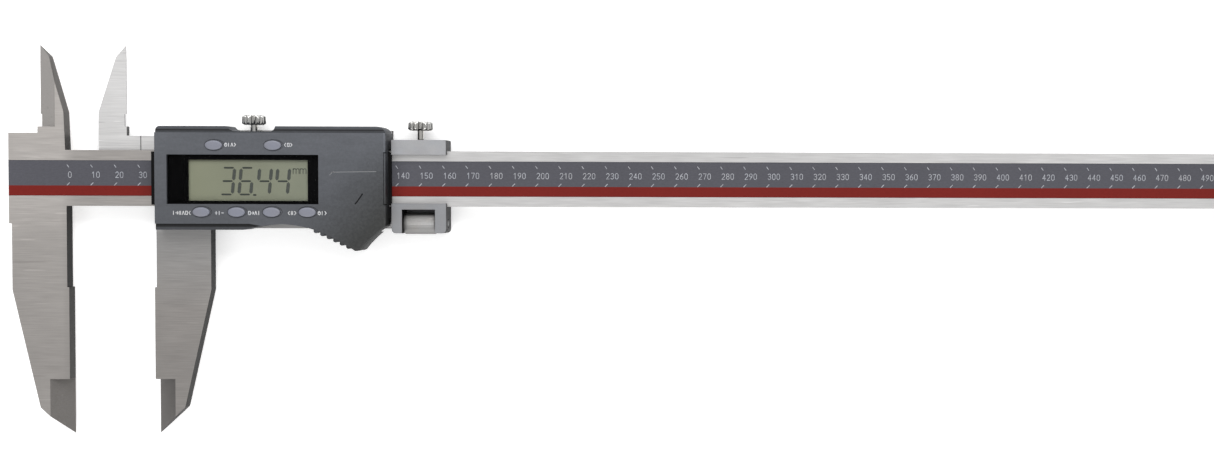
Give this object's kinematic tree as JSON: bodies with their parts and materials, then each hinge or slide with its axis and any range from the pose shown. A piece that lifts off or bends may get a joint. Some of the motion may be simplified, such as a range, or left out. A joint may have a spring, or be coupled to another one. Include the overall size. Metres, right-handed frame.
{
  "type": "digital caliper",
  "caption": "Long digital caliper with outside and inside jaws, a display slider on a flat scaled beam, clamp screws and a fine adjustment carriage with a knurled nut.",
  "frame": {"origin": "middle of the fixed jaw's measuring face, half-way through the jaw's thickness", "axes": "+X along the beam from the fixed jaw towards the end stop, which is also the fixed measuring face's outward normal; +Y across the beam towards the inside jaws; +Z out of the display. The caliper lies on its back, and that rest plane is Z = -8.2 mm"},
  "size_m": [0.6752, 0.168, 0.0229],
  "materials": {
    "beam_steel": "fine brushed, satin",
    "slider_steel": "ground and satin",
    "dark_steel": "satin",
    "screw_steel": "turned",
    "knob_steel": "plated, knurled",
    "nut_steel": "satin, knurled",
    "carriage_metal": "matt blasted",
    "plate_aluminium": "satin",
    "printed_scale": "printed laminate, satin",
    "brass": "satin",
    "board": "solder mask",
    "black_resin": "cast resin",
    "bezel_black": "printed behind the window",
    "window_clear": "polished",
    "lcd": "reflective display",
    "grey_rubber": "matt",
    "wiper_rubber": "matt",
    "nickel": "nickel plated",
    "housing_plastic": "fine moulded texture",
    "button_grey": "satin"
  },
  "bodies": {
    "beam": {"main_beam": "beam_steel", "scale_strip": "printed_scale", "end_stop": "dark_steel", "end_stop_screws": "screw_steel"},
    "slider": {"slider_frame": "slider_steel", "gib_strip": "brass", "gib_screws": "screw_steel", "sensor_plate": "plate_aluminium", "plate_screws": "screw_steel", "circuit_board": "board", "measuring_chip": "black_resin", "display_bezel": "bezel_black", "display_window": "window_clear", "lcd_panel": "lcd", "display_contact_strips": "grey_rubber", "keypad_membrane": "grey_rubber", "battery_contacts": "nickel", "housing": "housing_plastic", "case_screws": "screw_steel", "left_wiper": "wiper_rubber", "right_wiper": "wiper_rubber", "fine_screw": "screw_steel"},
    "battery_drawer": {"battery_drawer": "housing_plastic", "battery_cell": "nickel"},
    "slider_clamp_pad": {"slider_clamp_pad": "brass"},
    "slider_clamp_screw": {"slider_clamp_screw": "knob_steel"},
    "carriage": {"carriage_frame": "carriage_metal"},
    "carriage_clamp_pad": {"carriage_clamp_pad": "brass"},
    "carriage_clamp_screw": {"carriage_clamp_screw": "knob_steel"},
    "fine_nut": {"fine_nut": "nut_steel"},
    "upper_left_button": {"upper_left_button": "button_grey"},
    "upper_right_button": {"upper_right_button": "button_grey"},
    "lower_button_1": {"lower_button_1": "button_grey"},
    "lower_button_2": {"lower_button_2": "button_grey"},
    "lower_button_3": {"lower_button_3": "button_grey"},
    "lower_button_4": {"lower_button_4": "button_grey"}
  },
  "joints": [
    {"name": "slider_slide", "type": "slide", "parent": "beam", "child": "slider", "axis": [1, 0, 0], "range_m": [-0.03644, 0.46356]},
    {"name": "drawer_slide", "type": "slide", "parent": "slider", "child": "battery_drawer", "axis": [1, 0, 0], "range_m": [0, 0.026]},
    {"name": "slider_pad_slide", "type": "slide", "parent": "slider", "child": "slider_clamp_pad", "axis": [0, 1, 0], "range_m": [-0.00025, 0.001]},
    {"name": "slider_clamp_turn", "type": "hinge", "parent": "slider_clamp_pad", "child": "slider_clamp_screw", "pos_m": [0.07824, 0.0848, -0.0002], "axis": [0, 1, 0], "range_deg": [-180, 720]},
    {"name": "feed_slide", "type": "slide", "parent": "slider", "child": "carriage", "axis": [1, 0, 0], "range_m": [0, 0.007]},
    {"name": "nut_turn", "type": "hinge", "parent": "carriage", "child": "fine_nut", "pos_m": [0.14964, 0.0475, -0.0002], "axis": [1, 0, 0], "range_deg": [0, 3600]},
    {"name": "carriage_pad_slide", "type": "slide", "parent": "carriage", "child": "carriage_clamp_pad", "axis": [0, 1, 0], "range_m": [-0.00025, 0.001]},
    {"name": "carriage_clamp_turn", "type": "hinge", "parent": "carriage_clamp_pad", "child": "carriage_clamp_screw", "pos_m": [0.14964, 0.0848, -0.0002], "axis": [0, 1, 0], "range_deg": [-180, 720]},
    {"name": "upper_left_button_press", "type": "slide", "parent": "slider", "child": "upper_left_button", "axis": [0, 0, -1], "range_m": [0, 0.0006], "stiffness_N_per_m": 1500, "springref_m": -0.0002},
    {"name": "upper_right_button_press", "type": "slide", "parent": "slider", "child": "upper_right_button", "axis": [0, 0, -1], "range_m": [0, 0.0006], "stiffness_N_per_m": 1500, "springref_m": -0.0002},
    {"name": "lower_button_1_press", "type": "slide", "parent": "slider", "child": "lower_button_1", "axis": [0, 0, -1], "range_m": [0, 0.0006], "stiffness_N_per_m": 1500, "springref_m": -0.0002},
    {"name": "lower_button_2_press", "type": "slide", "parent": "slider", "child": "lower_button_2", "axis": [0, 0, -1], "range_m": [0, 0.0006], "stiffness_N_per_m": 1500, "springref_m": -0.0002},
    {"name": "lower_button_3_press", "type": "slide", "parent": "slider", "child": "lower_button_3", "axis": [0, 0, -1], "range_m": [0, 0.0006], "stiffness_N_per_m": 1500, "springref_m": -0.0002},
    {"name": "lower_button_4_press", "type": "slide", "parent": "slider", "child": "lower_button_4", "axis": [0, 0, -1], "range_m": [0, 0.0006], "stiffness_N_per_m": 1500, "springref_m": -0.0002}
  ],
  "couplings": [
    {"joint": "slider_clamp_turn", "follows": "slider_pad_slide", "rad_per_m": 12566},
    {"joint": "carriage_clamp_turn", "follows": "carriage_pad_slide", "rad_per_m": 12566},
    {"joint": "nut_turn", "follows": "feed_slide", "rad_per_m": 8976}
  ]
}
